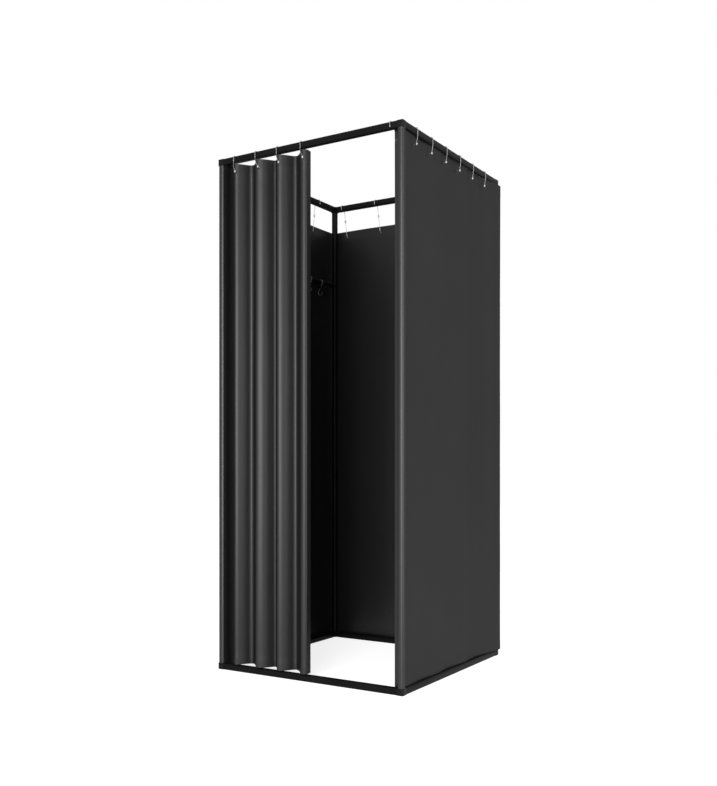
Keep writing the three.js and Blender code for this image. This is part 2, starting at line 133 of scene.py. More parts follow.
# Right curtain
RETURN_TIP = 0.050
RETURN_INSET = 0.017
TURN_RADIUS = 0.010
BULGE_START = 0.155
BULGE_END = 0.025
BACK_RETURN_TIP = 0.047

# Back and left curtains
BACK_START = 0.005
BACK_END = 0.055
LEFT_START = 0.027
LEFT_END = 0.001

# Each cloth's ripples as share of height, waves a metre along, waves a metre up, and offset of
# the seed. The drape is one more, which grows downward from below the top edge.
RIPPLE = 0.0006
RIPPLES = [(1, 9, 2.2, 0), (0.5, 25, 6, 5)]
DRAPE_WAVES = (6.5, 0.4, 9)
DRAPE_START = 0.06
DRAPE_GROWTH = 0.35
RIGHT_DRAPE = 0.0022
LONG_DRAPE = 0.0065

# How far the edges rise and sink near the cloths' tucked-in ends: runs along the cloth, amounts
LIFTED_BAND = 0.022
TUCKED_RUNS = [0, 0.014, 0.020, 0.045, 0.052, 0.085, 0.112]
FRONT_LIFT = (TUCKED_RUNS, [0.010, 0.010, 0.020, 0.020, 0.010, 0.010, 0])
FRONT_LOWER = (TUCKED_RUNS, [0.004, 0.004, 0.010, 0.010, 0.004, 0.004, 0])
RETURN_RUNS = [0, 0.018, 0.022]
RETURN_LIFT = (RETURN_RUNS, [0.012, 0.012, 0])
RETURN_LOWER = (RETURN_RUNS, [0.006, 0.006, 0])

# Hooks and eyelets. The solids' eyelet holes have EYELET_SIDES sides.
WIRE = 0.0024
BALL = 0.009
BALL_STRETCH = 1.35
INNER_LEG = 0.008
SHOULDER_DROP = 0.014
LOWER_BEND = 0.003
LEAST_TURN = math.radians(0.5)
HOOK_THROUGH = 0.006
TIP_RISE = 0.007
EYELET = 0.005
EYELET_SIDES = 8
EYELET_FLANGE = 0.0022
EYELET_PROUD = 0.0017
EYELET_CURVES = (0.6, 0.4, 0.7, 0.45)
FRONT_DROP = 0.055
FRONT_LEAD = 0.020
FRONT_LEAD_SHARES = [0.96, 1.29, 1.1, 1.08]
FRONT_BOW = 0.0055
FRONT_TUCK = 0.002
BOW_SHARE = 0.45
RIGHT_DROP = 0.046
RIGHT_LEAD = -0.003
RIGHT_REACH = 0.011
RIGHT_SHARES = [-0.3726, -0.2314, -0.0902, 0.0521, 0.1935, 0.3349]
LONG_HOOK_DROP = 0.131
LONG_LEAD = 0.014
LONG_BALL = 0.058
BACK_SHARES = [-0.43, -0.215, 0, 0.215, 0.4]
LEFT_SHARES = [-0.312, -0.104, 0.104, 0.312]
RETURN_PLACE = 0.053
RETURN_LEAD = 0.012
RETURN_SHOULDER = 0.004
RETURN_CROSS = 0.009
RETURN_DROP = 0.046
RETURN_REACH = 0.024
BACK_RETURN_PLACE = 0.033
GARMENT_HOOK_LENGTH = 0.075
GARMENT_BOWL = 0.011
GARMENT_LIP = math.pi / 9
GARMENT_SHARES = [0.34, 0.235, 0.06]

# Camera: the photograph's height, its focal length and horizon in pixels, and where it stands
PHOTO_HEIGHT = 786
FOCAL_PX = 930.2
HORIZON_PX = 463.56
SENSOR = 36.0
CAMERA_PLACE = (2.0263, -3.3099, 0.8267)
CAMERA_YAW = 31.77

# Studio: the world as it lights and as it is seen, the floor, and each softbox as azimuth from
# -Y toward +X, distance, height, width, height of the box and watts
WHITE = (1, 1, 1, 1)
WORLD_LIGHT = 0.45
WORLD_SEEN = 1.0
FLOOR_REACH = 14.0
FLOOR_COLOUR = (0.6, 0.6, 0.6, 1)
FLOOR_ROUGHNESS = 0.9
FLOOR_GLOW = 0.82
SOFTBOXES = {
    "key": (18, 5.0, 1.6, 1.8, 3.2, 225),
    "side_fill": (70, 5.0, 1.5, 2.4, 2.8, 75),
    "right_fill": (90, 5.0, 1.6, 2.5, 2.8, 36),
}

# Facets of the fine surface
CORNER_STEPS = 10
BLOCK_CORNER_STEPS = 6
BLOCK_EDGE_STEPS = 2
WIRE_SIDES = 12
BEND_STEPS = 6
ROUND_SIDES = 48
BALL_RINGS = 10
BALL_SIDES = 16
GARMENT_STEPS = 28
EYELET_RING_SIDES = 28
FOLD_STEPS = 6
ARC_STEPS = 10
RIGHT_LINE_POINTS = 120
OUTSIDE_LINE_POINTS = 140
FRONT_STEP = 0.0035
WALL_STEP = 0.009
ROW_STEP = 0.03
CLOSEST = 0.0002
MARK_CLEARANCE = 0.45
EYELET_STEPS = [-0.0085, -0.0043, -0.0015, 0.0015, 0.0043, 0.0085]

# Angles past which an edge of a mesh is drawn sharp, and a block's edge is bevelled
SHARP_EDGE = 35
SHARP_BLOCK = 50
SHARP_CLOTH = 50
BEVELLED_ANGLE = 60

WIRE_RISE = HALF + SEAT_GAP + WIRE / 2
HANG_SLACK = EYELET / 2 * math.cos(math.pi / EYELET_SIDES) - WIRE / 2 - SEAT_GAP


# Node helpers. An input's name is written with _ for each space.
def set_inputs(node, **inputs):
    for name, value in inputs.items():
        node.inputs[name.replace("_", " ")].default_value = value


def add_node(tree, kind, **inputs):
    node = tree.nodes.new(kind)
    set_inputs(node, **inputs)
    return node


def new_material(name):
    material = bpy.data.materials.new(name)
    material.use_nodes = True
    tree = material.node_tree
    return material, tree, tree.nodes["Principled BSDF"]


def math_node(tree, operation, first, second=0.0):
    node = tree.nodes.new("ShaderNodeMath")
    node.operation = operation
    for socket, value in zip(node.inputs, (first, second)):
        if isinstance(value, (int, float)):
            socket.default_value = value
        else:
            tree.links.new(value, socket)
    return node.outputs[0]


RAMP_STOPS = (0.3, 0.7)


def ramp_between(tree, factor, low, high):
    ramp = tree.nodes.new("ShaderNodeValToRGB")
    for element, stop, colour in zip(ramp.color_ramp.elements, RAMP_STOPS, (low, high)):
        element.position = stop
        element.color = (*colour, 1)
    tree.links.new(factor, ramp.inputs["Fac"])
    return ramp.outputs["Color"]


def noise_on(tree, coordinates, scale, detail):
    texture = add_node(tree, "ShaderNodeTexNoise", Scale=scale, Detail=detail)
    tree.links.new(coordinates, texture.inputs["Vector"])
    return texture.outputs["Fac"]


def roughness_between(tree, factor, low, high):
    span = add_node(tree, "ShaderNodeMapRange", To_Min=low, To_Max=high)
    tree.links.new(factor, span.inputs["Value"])
    return span.outputs["Result"]


def bump_from(tree, shader, height, strength, distance, before=None):
    bump = add_node(tree, "ShaderNodeBump", Strength=strength, Distance=distance)
    tree.links.new(height, bump.inputs["Height"])
    if before is not None:
        tree.links.new(before, bump.inputs["Normal"])
    tree.links.new(bump.outputs["Normal"], shader.inputs["Normal"])
    return bump.outputs["Normal"]


# A thin clear layer in place of the base's own gloss
CLEAR_IOR = 2.5
CLEAR_ROUGHNESS = 0.4


def add_clear_layer(shader, weight):
    set_inputs(shader, Specular_IOR_Level=0, Coat_Weight=weight)
    set_inputs(shader, Coat_IOR=CLEAR_IOR, Coat_Roughness=CLEAR_ROUGHNESS)


# A hard surface: its colour and roughness vary in patches, and a fine grain raises it. Patches
# and grain are a noise's scale and detail. Where the grain dulls it, the roughness follows that.
GRAIN_DEPTH = 0.0002


def hard_surface(name, colours, patches, roughness, grain, bump, grain_dulls=False):
    material, tree, shader = new_material(name)
    place = tree.nodes.new("ShaderNodeTexCoord").outputs["Object"]
    spread = noise_on(tree, place, *patches)
    fine = noise_on(tree, place, *grain)
    tree.links.new(ramp_between(tree, spread, *colours), shader.inputs["Base Color"])
    dulling = roughness_between(tree, fine if grain_dulls else spread, *roughness)
    tree.links.new(dulling, shader.inputs["Roughness"])
    bump_from(tree, shader, fine, bump, GRAIN_DEPTH)
    return material, shader


def shaded(colours, shade):
    return [[shade * part for part in colour] for colour in colours]


# Satin black paint on steel: a faint orange peel, and dust that dulls it in patches. The posts'
# copy has a clear layer that catches the light and a slightly darker colour. The copy for the
# tubes at the back and left has a much thinner layer and a darker colour still: painted shade.
PAINT_COLOURS = ((0.0055, 0.0055, 0.0056), (0.008, 0.008, 0.0081))


def painted_steel(name, ior, layer=0.0, shade=1.0):
    material, shader = hard_surface(
        name, shaded(PAINT_COLOURS, shade), patches=(9, 4), roughness=(0.3, 0.4),
        grain=(900, 2), bump=0.05,
    )
    set_inputs(shader, IOR=ior)
    if layer:
        add_clear_layer(shader, layer)
    return material


# Moulded black plastic: a fine spark-eroded grain
PLASTIC_COLOURS = ((0.0045, 0.0045, 0.0046), (0.0065, 0.0065, 0.0066))


def moulded_plastic():
    material, shader = hard_surface(
        "moulded_black_plastic", PLASTIC_COLOURS, patches=(30, 3), roughness=(0.42, 0.56),
        grain=(2600, 2), bump=0.2, grain_dulls=True,
    )
    set_inputs(shader, IOR=1.2)
    return material


# Bright plated wire: fine drawing lines and a little tarnish
WIRE_COLOURS = ((0.26, 0.255, 0.245), (0.36, 0.355, 0.345))


def plated_wire(name, shade=1.0):
    material, shader = hard_surface(
        name, shaded(WIRE_COLOURS, shade), patches=(140, 4), roughness=(0.38, 0.52),
        grain=(1500, 2), bump=0.08,
    )
    set_inputs(shader, Metallic=1.0)
    return material


# Blackened metal of the eyelets
EYELET_COLOURS = ((0.04, 0.04, 0.042), (0.09, 0.088, 0.085))


def dark_metal():
    material, shader = hard_surface(
        "blackened_metal", EYELET_COLOURS, patches=(300, 4), roughness=(0.28, 0.45),
        grain=(1200, 2), bump=0.1,
    )
    set_inputs(shader, Metallic=0.9)
    return material


# Black curtain cloth: a plain weave that follows the cloth's own run and drop, slubs along the
# threads, faint patches, and rows of stitching at the hems
CLOTH_COLOURS = ((0.0095, 0.0095, 0.0094), (0.0132, 0.0132, 0.0130))
THREAD_COLOUR = (0.0145, 0.0145, 0.0146, 1)
CLOTH_ROUGHNESS = (0.75, 0.85)
CLOTH_LAYER = 0.13
WEAVE_PITCH = 0.0011
WEAVE_BUMP = (0.18, 0.0002)
SLUB_STRETCH = (900, 14, 1)
SLUB_SHARE = 0.55
SLUB_BUMP = (0.15, 0.0004)
PATCH_SCALE = 3.5
STITCH_PITCH = 0.0042
STITCH_LENGTH_SHARE = 0.66
STITCH_WIDTH = 0.0009
STITCH_INSET = 0.003

# The two maps on a cloth: metres from its start and bottom, and metres from its end and top
FORWARD_MAP = "run_and_drop"
BACKWARD_MAP = "back_and_rise"

# Sockets of a Mix node that mixes colours
MIX_FACTOR, MIX_FIRST, MIX_SECOND, MIX_RESULT = 0, 6, 7, 2


def map_of(tree, name):
    layer = tree.nodes.new("ShaderNodeUVMap")
    layer.uv_map = name
    split = tree.nodes.new("ShaderNodeSeparateXYZ")
    tree.links.new(layer.outputs["UV"], split.inputs["Vector"])
    return layer.outputs["UV"], split.outputs


# Rows of stitches just inside the hems: one where a stitch lies, zero elsewhere
def stitch_rows(tree):
    total = None
    for name, level_hem in ((FORWARD_MAP, BOTTOM_HEM), (BACKWARD_MAP, TOP_HEM)):
        _, parts = map_of(tree, name)
        for across, along, hem in (("X", "Y", SIDE_HEM), ("Y", "X", level_hem)):
            offset = math_node(tree, "SUBTRACT", parts[across], hem - STITCH_INSET)
            away = math_node(tree, "ABSOLUTE", offset)
            near = math_node(tree, "LESS_THAN", away, STITCH_WIDTH / 2)
            turn = math_node(tree, "FRACT", math_node(tree, "DIVIDE", parts[along], STITCH_PITCH))
            drawn = math_node(tree, "LESS_THAN", turn, STITCH_LENGTH_SHARE)
            row = math_node(tree, "MULTIPLY", near, drawn)
            total = row if total is None else math_node(tree, "MAXIMUM", total, row)
    return total


def curtain_cloth():
    material, tree, shader = new_material("black_curtain_cloth")
    place, parts = map_of(tree, FORWARD_MAP)
    waves = []
    for axis in ("X", "Y"):
        turned = math_node(tree, "MULTIPLY", parts[axis], 2 * math.pi / WEAVE_PITCH)
        waves.append(math_node(tree, "SINE", turned))
    weave = math_node(tree, "MULTIPLY", *waves)
    stretched = add_node(tree, "ShaderNodeMapping", Scale=SLUB_STRETCH)
    tree.links.new(place, stretched.inputs["Vector"])
    slubs = noise_on(tree, stretched.outputs["Vector"], 1, 3)
    patches = noise_on(tree, place, PATCH_SCALE, 4)
    slub_part = math_node(tree, "MULTIPLY", slubs, SLUB_SHARE)
    patch_part = math_node(tree, "MULTIPLY", patches, 1 - SLUB_SHARE)
    colour = ramp_between(tree, math_node(tree, "ADD", slub_part, patch_part), *CLOTH_COLOURS)
    threaded = tree.nodes.new("ShaderNodeMix")
    threaded.data_type = "RGBA"
    threaded.inputs[MIX_SECOND].default_value = THREAD_COLOUR
    tree.links.new(stitch_rows(tree), threaded.inputs[MIX_FACTOR])
    tree.links.new(colour, threaded.inputs[MIX_FIRST])
    tree.links.new(threaded.outputs[MIX_RESULT], shader.inputs["Base Color"])
    tree.links.new(roughness_between(tree, slubs, *CLOTH_ROUGHNESS), shader.inputs["Roughness"])
    add_clear_layer(shader, CLOTH_LAYER)
    woven = bump_from(tree, shader, weave, *WEAVE_BUMP)
    bump_from(tree, shader, slubs, *SLUB_BUMP, woven)
    return material


POST_PAINT = painted_steel("satin_black_paint_posts", ior=1.4, layer=0.22, shade=0.8)
RAIL_PAINT = painted_steel("satin_black_paint_rails", ior=1.12)
# A darker, less glossy copy of the same paint: painted shade for the tubes inside the booth
INNER_SHADED_PAINT = painted_steel("satin_black_paint_inner_painted_shade", ior=1.4, layer=0.04, shade=0.65)
PLASTIC = moulded_plastic()
BRIGHT = plated_wire("plated_wire")
# A brighter copy of the same plated wire: painted highlights on the back and left hooks in the
# booth's shade
LIT_WIRE_COPY = plated_wire("plated_wire_painted_highlight", shade=1.6)
DARK_METAL = dark_metal()
BLACK_CLOTH = curtain_cloth()


# Mesh helpers
def new_piece(name, vertices, faces, material, body, sharp=SHARP_EDGE):
    mesh = bpy.data.meshes.new(name)
    mesh.from_pydata([tuple(vertex) for vertex in vertices], [], faces)
    mesh.validate()
    mesh.shade_smooth()
    mesh.set_sharp_from_angle(angle=math.radians(sharp))
    mesh.materials.append(material)
    piece = bpy.data.objects.new(name, mesh)
    bpy.context.scene.collection.objects.link(piece)
    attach(piece, body)
    return piece


# A piece that takes a node's place
def stand_in(node, vertices, faces, material, body="frame", sharp=SHARP_EDGE):
    piece = new_piece(node + "_fine", vertices, faces, material, body, sharp)
    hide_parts(node)


def on_axes(axis, along, across, up):
    place = [0.0, 0.0, 0.0]
    place[axis] = along
    place[(axis + 1) % 3] = across
    place[(axis + 2) % 3] = up
    return place


def rounded_square(size, corner):
    straight = size / 2 - corner
    points = []
    for side in range(4):
        middle = Matrix.Rotation(side * math.pi / 2, 2) @ Vector((straight, straight))
        for step in range(CORNER_STEPS + 1):
            angle = side * math.pi / 2 + math.pi / 2 * step / CORNER_STEPS
            points.append(middle + corner * Vector((math.cos(angle), math.sin(angle))))
    return points


def circle(radius, sides=ROUND_SIDES):
    angles = [2 * math.pi * side / sides for side in range(sides)]
    return [radius * Vector((math.cos(angle), math.sin(angle))) for angle in angles]


# Rings of points, each joined to the next; closed when the last joins the first
def ring_faces(count, size, closed, offset=0):
    faces = []
    for ring in range(count if closed else count - 1):
        first = offset + ring * size
        second = offset + (ring + 1) % count * size
        for side in range(size):
            after = (side + 1) % size
            faces.append((first + side, first + after, second + after, second + side))
    return faces


# A hollow tube in a node's place along an axis. The outline is a function of the inset, which
# takes the sharpness off the tube's two ends.
def tube_along(node, axis, outline, bore, paint):
    low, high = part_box(node)
    middle = (low + high) / 2
    reach = (high - low)[axis] / 2
    flat = reach - TUBE_EDGE
    stations = [(-reach, TUBE_EDGE), (-flat, 0), (flat, 0), (reach, TUBE_EDGE)]
    rings = [(along, outline(inset)) for along, inset in stations]
    rings += [(reach, bore), (-reach, bore)]
    vertices = []
    for along, ring in rings:
        for across, up in ring:
            vertices.append(middle + Vector(on_axes(axis, along, across, up)))
    stand_in(node, vertices, ring_faces(len(rings), len(bore), True), paint)


INNER_TUBES = ("post_back_left", "post_back_right", "top_rail_back", "top_rail_left")


def square_tube(node, axis):
    upright = axis == 2
    paint = POST_PAINT if upright else RAIL_PAINT
    # The tubes at the back and left take the darker copy, painted shade for the inside of the booth
    if node in INNER_TUBES:
        paint = INNER_SHADED_PAINT
    corner = POST_CORNER if upright else RAIL_CORNER

    def outline(inset):
        return rounded_square(TUBE - 2 * inset, corner - inset)

    tube_along(node, axis, outline, outline(TUBE_WALL), paint)


def make_frame():
    for end in ("front", "back"):
        for side in ("left", "right"):
            square_tube(f"post_{end}_{side}", 2)
        for level in ("top", "bottom"):
            square_tube(f"{level}_rail_{end}", 0)
    for side in ("left", "right"):
        for level in ("top", "bottom"):
            square_tube(f"{level}_rail_{side}", 1)
    radius = GARMENT_RAIL_SIZE / 2
    bore = circle(radius - TUBE_WALL)
    tube_along("garment_rail", 1, lambda inset: circle(radius - inset), bore, RAIL_PAINT)


# A connector's block, with the three edges at its outer corner rounded
def connector_block(shape, outside):
    bmesh.ops.create_cube(shape, size=TUBE)
    rounded = []
    for edge in shape.edges:
        if any((vertex.co - outside).length < TUBE_EDGE for vertex in edge.verts):
            rounded.append(edge)
    bevel = {"profile": 0.5, "affect": "EDGES"}
    bmesh.ops.bevel(shape, geom=rounded, offset=BLOCK_CORNER, segments=BLOCK_CORNER_STEPS, **bevel)
    least = math.radians(BEVELLED_ANGLE)
    sharp = [edge for edge in shape.edges if edge.is_manifold and edge.calc_face_angle() > least]
    bmesh.ops.bevel(shape, geom=sharp, offset=BLOCK_EDGE, segments=BLOCK_EDGE_STEPS, **bevel)


# A connector's arm into a tube: two crossed ribs and a collar at the end
def connector_arm(shape, axis, inward):
    size = TUBE - 2 * TUBE_WALL - 2 * SEAT_GAP
    tip = HALF + ARM_LENGTH
    collar = size - ARM_RIB
    boxes = [
        (size, ARM_RIB, 0, tip),
        (ARM_RIB, size, 0, tip),
        (collar, collar, tip - ARM_COLLAR, tip),
    ]
    for across, up, start, end in boxes:
        scale = on_axes(axis, end - start, across, up)
        place = on_axes(axis, inward * (start + end) / 2, 0.0, 0.0)
        for vertex in bmesh.ops.create_cube(shape, size=1)["verts"]:
            vertex.co = Vector([vertex.co[k] * scale[k] + place[k] for k in range(3)])


def connector(node):
    low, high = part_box(node)
    signs = Vector([1 if low[axis] + high[axis] > 0 else -1 for axis in range(3)])
    signs.z = 1 if "top" in node else -1
    outer = Vector([high[axis] if signs[axis] > 0 else low[axis] for axis in range(3)])
    shape = bmesh.new()
    connector_block(shape, signs * HALF)
    for axis in range(3):
        connector_arm(shape, axis, -signs[axis])
    bmesh.ops.translate(shape, verts=shape.verts, vec=outer - signs * HALF)
    bmesh.ops.recalc_face_normals(shape, faces=shape.faces)
    vertices = [vertex.co.copy() for vertex in shape.verts]
    shape.verts.index_update()
    faces = [[vertex.index for vertex in face.verts] for face in shape.faces]
    shape.free()
    stand_in(node, vertices, faces, PLASTIC, sharp=SHARP_BLOCK)


def make_connectors():
    for level in ("top", "bottom"):
        for end in ("front", "back"):
            for side in ("left", "right"):
                connector(f"corner_{level}_{end}_{side}")


# The garment rail's plugs: a flange whose face is hollowed to the post, and a stub in the rail
def make_plugs():
    post_face = POST_Y - HALF
    radius = GARMENT_RAIL_SIZE / 2
    stub = radius - TUBE_WALL - SEAT_GAP
    corner = SOLID_CORNER + SEAT_GAP
    flat = HALF - SOLID_CORNER
    flange = post_face - PLUG_FLANGE + SEAT_GAP

    def saddle(across):
        past = max(abs(across) - flat, 0)
        drop = corner - math.sqrt(max(corner ** 2 - past ** 2, 0))
        return post_face - SEAT_GAP + min(drop, PLUG_SADDLE)

    for node, side in (("garment_rail_plug_back", 1), ("garment_rail_plug_front", -1)):
        low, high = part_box(node)
        stub_end = min(abs(low.y), abs(high.y))
        sections = [
            (stub - SEAT_GAP, stub_end),
            (stub, stub_end + SEAT_GAP),
            (stub, flange),
            (radius - SEAT_GAP, flange),
            (radius, flange + SEAT_GAP),
            (radius, None),
            *[(radius * share, None) for share in PLUG_FACE_RINGS],
        ]
        vertices = []
        for size, depth in sections:
            for across, up in circle(size):
                out = saddle(across) if depth is None else depth
                vertices.append(Vector((across - POST_X, side * out, GARMENT_RAIL_Z + up)))
        faces = ring_faces(len(sections), ROUND_SIDES, False)
        faces.append(tuple(range(ROUND_SIDES))[::-1])
        faces.append(tuple(range(len(vertices) - ROUND_SIDES, len(vertices))))
        if side > 0:
            faces = [tuple(face)[::-1] for face in faces]
        stand_in(node, vertices, faces, PLASTIC)


# A route through corners, each with the radius of its bend
def bent_route(corners):
    stations = [corners[0][0]]
    for before, (at, bend), after in zip(corners, corners[1:], corners[2:]):
        into = (at - before[0]).normalized()
        onward = (after[0] - at).normalized()
        if into.angle(onward) < LEAST_TURN:
            continue
        reach = bend * math.tan(into.angle(onward) / 2)
        start, end = at - into * reach, at + onward * reach
        for step in range(BEND_STEPS + 1):
            t = step / BEND_STEPS
            stations.append((1 - t) ** 2 * start + 2 * t * (1 - t) * at + t ** 2 * end)
    stations.append(corners[-1][0])
    return stations


# Rings of a domed end as shares of the dome's height and of the wire's size
DOME_RINGS = [(0, 1), (0.5, 0.85), (1, 0.5)]


# Points and faces of a round wire with domed ends along stations
def wire_shape(stations, size):
    tangents = []
    for index in range(len(stations)):
        before = stations[max(index - 1, 0)]
        after = stations[min(index + 1, len(stations) - 1)]
        tangents.append((after - before).normalized())
    side = tangents[0].orthogonal().normalized()
    dome = size / 4
    rings = []
    for index, (at, tangent) in enumerate(zip(stations, tangents)):
        side = (side - tangent * side.dot(tangent)).normalized()
        other = tangent.cross(side)
        steps = [(0, 1)]
        if index == 0:
            steps = [(-dome * height, share) for height, share in DOME_RINGS[::-1]]
        elif index == len(stations) - 1:
            steps = [(dome * height, share) for height, share in DOME_RINGS]
        for along, share in steps:
            ring = circle(size / 2 * share, WIRE_SIDES)
            rings.append([at + tangent * along + side * x + other * y for x, y in ring])
    vertices = [point for ring in rings for point in ring]
    faces = ring_faces(len(rings), WIRE_SIDES, False)
    faces.append(tuple(range(WIRE_SIDES))[::-1])
    faces.append(tuple(range(len(vertices) - WIRE_SIDES, len(vertices))))
    return vertices, faces


# Points of a ball, and its faces for points that come after the offset's
def ball_shape(middle, size, offset):
    reach = size / 2 * BALL_STRETCH
    vertices = [middle + Vector((0, 0, -reach))]
    for ring in range(1, BALL_RINGS):
        angle = math.pi * ring / BALL_RINGS - math.pi / 2
        for x, y in circle(size / 2 * math.cos(angle), BALL_SIDES):
            vertices.append(middle + Vector((x, y, reach * math.sin(angle))))
    vertices.append(middle + Vector((0, 0, reach)))
    faces = ring_faces(BALL_RINGS - 1, BALL_SIDES, False, offset + 1)
    last = offset + len(vertices) - 1
    for side in range(BALL_SIDES):
        after = (side + 1) % BALL_SIDES
        faces.append((offset, offset + 1 + after, offset + 1 + side))
        faces.append((last, last - BALL_SIDES + side, last - BALL_SIDES + after))
    return vertices, faces


# A place on each wall: along it, out from its rail's axis, and up from it
WALLS = {
    "front": lambda along, out, up: Vector((along, -POST_Y - out, RAIL_Z + up)),
    "right": lambda along, out, up: Vector((POST_X + out, along, RAIL_Z + up)),
    "back": lambda along, out, up: Vector((along, POST_Y + out, RAIL_Z + up)),
    "left": lambda along, out, up: Vector((-POST_X - out, along, RAIL_Z + up)),
    "in_front": lambda along, out, up: Vector((along, -POST_Y + out, RAIL_Z + up)),
}


# A curtain hook: over its rail from a short leg inside, down the outside, and through the lower
# corners. The corners and the ball are lead along the rail, distance out and drop.
def curtain_hook(node, body, wall, along, lower, ball):
    at = WALLS[wall]
    top_bend = SOLID_CORNER + SEAT_GAP + WIRE / 2
    corners = [
        (at(along, -WIRE_RISE, -INNER_LEG), 0),
        (at(along, -WIRE_RISE, WIRE_RISE), top_bend),
        (at(along, WIRE_RISE, WIRE_RISE), top_bend),
    ]
    corners += [(at(along + lead, out, -drop), LOWER_BEND) for lead, out, drop in lower]
    vertices, faces = wire_shape(bent_route(corners), WIRE)
    lead, out, drop = ball
    more, more_faces = ball_shape(at(along + lead, out, -drop), BALL, len(vertices))
    # The back and left hooks take the brighter copy, a painted highlight
    metal = LIT_WIRE_COPY if node.startswith(("back_hook", "left_hook")) else BRIGHT
    stand_in(node, vertices + more, faces + more_faces, metal, body)


# A hook whose tip goes into the cloth from outside. Its bow is how far it bulges on the way down.
def hook_from_outside(node, body, wall, along, lead, reach, drop, through, bow=0.0):
    lower = [
        (0, WIRE_RISE, SHOULDER_DROP),
        (lead, reach, drop),
        (lead, through, drop),
        (lead, through, drop - TIP_RISE),
    ]
    if bow:
        out = WIRE_RISE + BOW_SHARE * (reach - WIRE_RISE) + bow
        down = SHOULDER_DROP + BOW_SHARE * (drop - SHOULDER_DROP)
        lower.insert(1, (BOW_SHARE * lead, out, down))
    curtain_hook(node, body, wall, along, lower, (lead, reach, drop))


# A hook whose tip goes into the cloth from inside, with its ball on the long wire
def hook_from_inside(node, wall, along, lead, drop, ball_drop):
    reach = OUTSIDE_HANG + HOOK_THROUGH
    share = (ball_drop - SHOULDER_DROP) / (drop - SHOULDER_DROP)
    lower = [
        (0, WIRE_RISE, SHOULDER_DROP),
        (lead, WIRE_RISE, drop),
        (lead, reach, drop),
        (lead, reach, drop - TIP_RISE),
    ]
    curtain_hook(node, "frame", wall, along, lower, (lead * share, WIRE_RISE, ball_drop))


CRESTS = [share * BOOTH_WIDTH - BOOTH_WIDTH / 2 for share in CREST_SHARES]
FRONT_BODIES = ["front_glide_1", "front_glide_2", "front_glide_3", "front_leader"]
RIGHT_PLACES = [share * BOOTH_DEPTH for share in RIGHT_SHARES]
BACK_PLACES = [share * BOOTH_WIDTH for share in BACK_SHARES]
LEFT_PLACES = [share * BOOTH_DEPTH for share in LEFT_SHARES]
RETURN_X = BOOTH_WIDTH / 2 - RETURN_PLACE
BACK_RETURN_X = BOOTH_WIDTH / 2 - BACK_RETURN_PLACE


def make_hooks():
    reach = CREST_OUT + BALL / 2 + SEAT_GAP
    through = CREST_OUT - SOLID_CLOTH - HOOK_THROUGH - FRONT_TUCK
    for index, body in enumerate(FRONT_BODIES):
        lead = FRONT_LEAD_SHARES[index] * FRONT_LEAD
        place = CRESTS[index] - lead
        hang = (lead, reach, FRONT_DROP, through, FRONT_BOW)
        hook_from_outside(f"front_hook_{index + 1}", body, "front", place, *hang)
    for index, place in enumerate(RIGHT_PLACES, 1):
        hang = (RIGHT_LEAD, RIGHT_REACH, RIGHT_DROP, -HOOK_THROUGH)
        hook_from_outside(f"right_hook_{index}", "frame", "right", place, *hang)
    for index, place in enumerate(BACK_PLACES, 1):
        hang = (LONG_LEAD, LONG_HOOK_DROP, LONG_BALL)
        hook_from_inside(f"back_hook_{index}", "back", place, *hang)
    for index, place in enumerate(LEFT_PLACES, 1):
        hang = (-LONG_LEAD, LONG_HOOK_DROP, LONG_BALL)
        hook_from_inside(f"left_hook_{index}", "left", place, *hang)
    behind = RETURN_INSET + SOLID_CLOTH / 2 + SEAT_GAP + WIRE / 2
    past = RETURN_INSET - SOLID_CLOTH / 2 - WIRE / 2
    lower = [
        (0, WIRE_RISE, RETURN_SHOULDER),
        (0, behind, RETURN_CROSS),
        (RETURN_LEAD, RETURN_REACH, RETURN_DROP),
        (RETURN_LEAD, past, RETURN_DROP),
    ]
    ball = (RETURN_LEAD, RETURN_REACH, RETURN_DROP)
    curtain_hook("return_hook_front", "frame", "in_front", RETURN_X, lower, ball)
    hook_from_inside("return_hook_back", "back", BACK_RETURN_X, 0, RETURN_DROP, RETURN_DROP)


# S-shaped hooks: an arc over the garment rail, and a bowl below it that turns the other way
def make_garment_hooks():
    radius = WIRE / 2
    top = GARMENT_RAIL_SIZE / 2 + SEAT_GAP + radius
    drop = GARMENT_HOOK_LENGTH - WIRE - top - GARMENT_BOWL
    crossing = math.asin((top + GARMENT_BOWL) / drop)
    sweep = math.pi + GARMENT_LIP + crossing
    for index, share in enumerate(GARMENT_SHARES, 1):
        middle = Vector((-POST_X, share * BOOTH_DEPTH, GARMENT_RAIL_Z))
        stations = []
        for step in range(GARMENT_STEPS + 1):
            angle = math.pi + GARMENT_LIP - sweep * step / GARMENT_STEPS
            stations.append(middle + top * Vector((math.cos(angle), 0, math.sin(angle))))
        for step in range(GARMENT_STEPS + 1):
            angle = math.pi - crossing + sweep * step / GARMENT_STEPS
            bowl = GARMENT_BOWL * Vector((math.cos(angle), 0, math.sin(angle)))
            stations.append(middle + bowl - Vector((0, 0, drop)))
        vertices, faces = wire_shape(stations, WIRE)
        body = f"swing_hook_{index}"
        stand_in(f"garment_hook_{index}", vertices, faces, BRIGHT, body)


